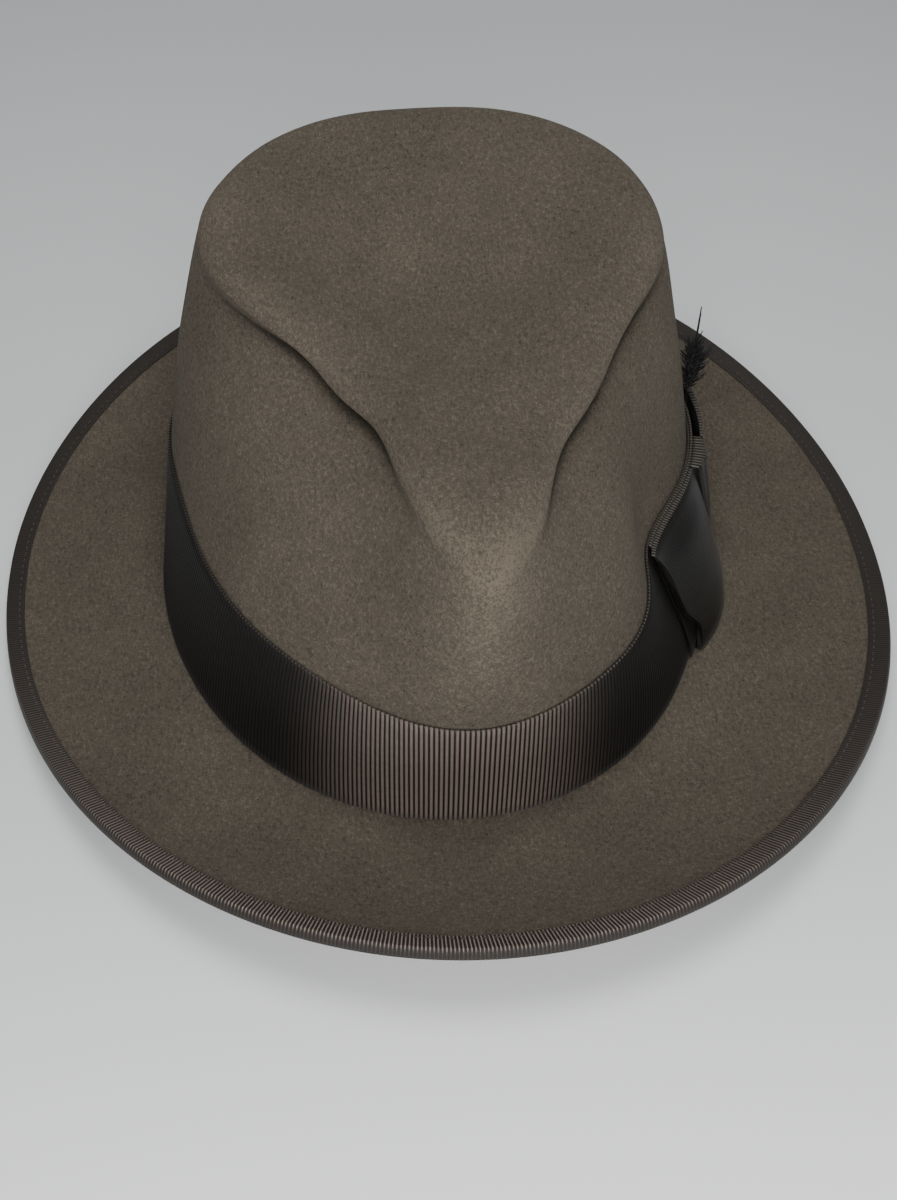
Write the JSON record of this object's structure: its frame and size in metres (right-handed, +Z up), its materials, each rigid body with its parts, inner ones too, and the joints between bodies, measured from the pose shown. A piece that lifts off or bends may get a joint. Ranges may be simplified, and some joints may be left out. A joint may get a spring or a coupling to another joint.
{
  "type": "fedora hat",
  "caption": "Soft felt fedora with a pinched teardrop crown, bound brim, ribbed ribbon band with a flat bow, a pull-out feather, leather sweatband and satin lining.",
  "frame": {"origin": "on the table, under the middle of the brim's outline", "axes": "+Z up, -Y the front of the hat, +X the wearer's left, where the bow is"},
  "size_m": [0.2851, 0.3082, 0.1171],
  "materials": {
    "felt": "brushed fur felt, fine nap",
    "grosgrain": "ribbed ribbon",
    "binding": "ribbed ribbon",
    "binding_thread": "thread",
    "sweat_leather": "smooth leather",
    "reed_tape": "woven tape",
    "thread": "thread",
    "bow_satin": "satin ribbon",
    "lining_satin": "satin",
    "lining_tip": "satin",
    "piping": "corded piping",
    "bow_ribbon": "satin-faced ribbon",
    "quill": "horn-like shaft",
    "feather": "feather web"
  },
  "bodies": {
    "hat": {"felt_body": "felt", "ribbon_band": "grosgrain", "brim_binding": "binding", "binding_thread": "binding_thread", "sweatband": "sweat_leather", "sweatband_reed": "reed_tape", "sweatband_thread": "thread", "sweatband_bow": "bow_satin", "lining_side": "lining_satin", "lining_tip": "lining_tip", "lining_piping": "piping", "bow_back_strip": "bow_ribbon", "bow_front_loop": "bow_ribbon", "bow_rear_loop": "bow_ribbon", "bow_knot": "bow_ribbon", "bow_tack_threads": "thread"},
    "feather": {"feather_quill": "quill", "feather_vane": "feather", "feather_barbs": "feather"}
  },
  "joints": [
    {"name": "feather_pull", "type": "slide", "parent": "hat", "child": "feather", "axis": [-0.015, 0.03, 0.9994], "range_m": [0, 0.03]}
  ]
}
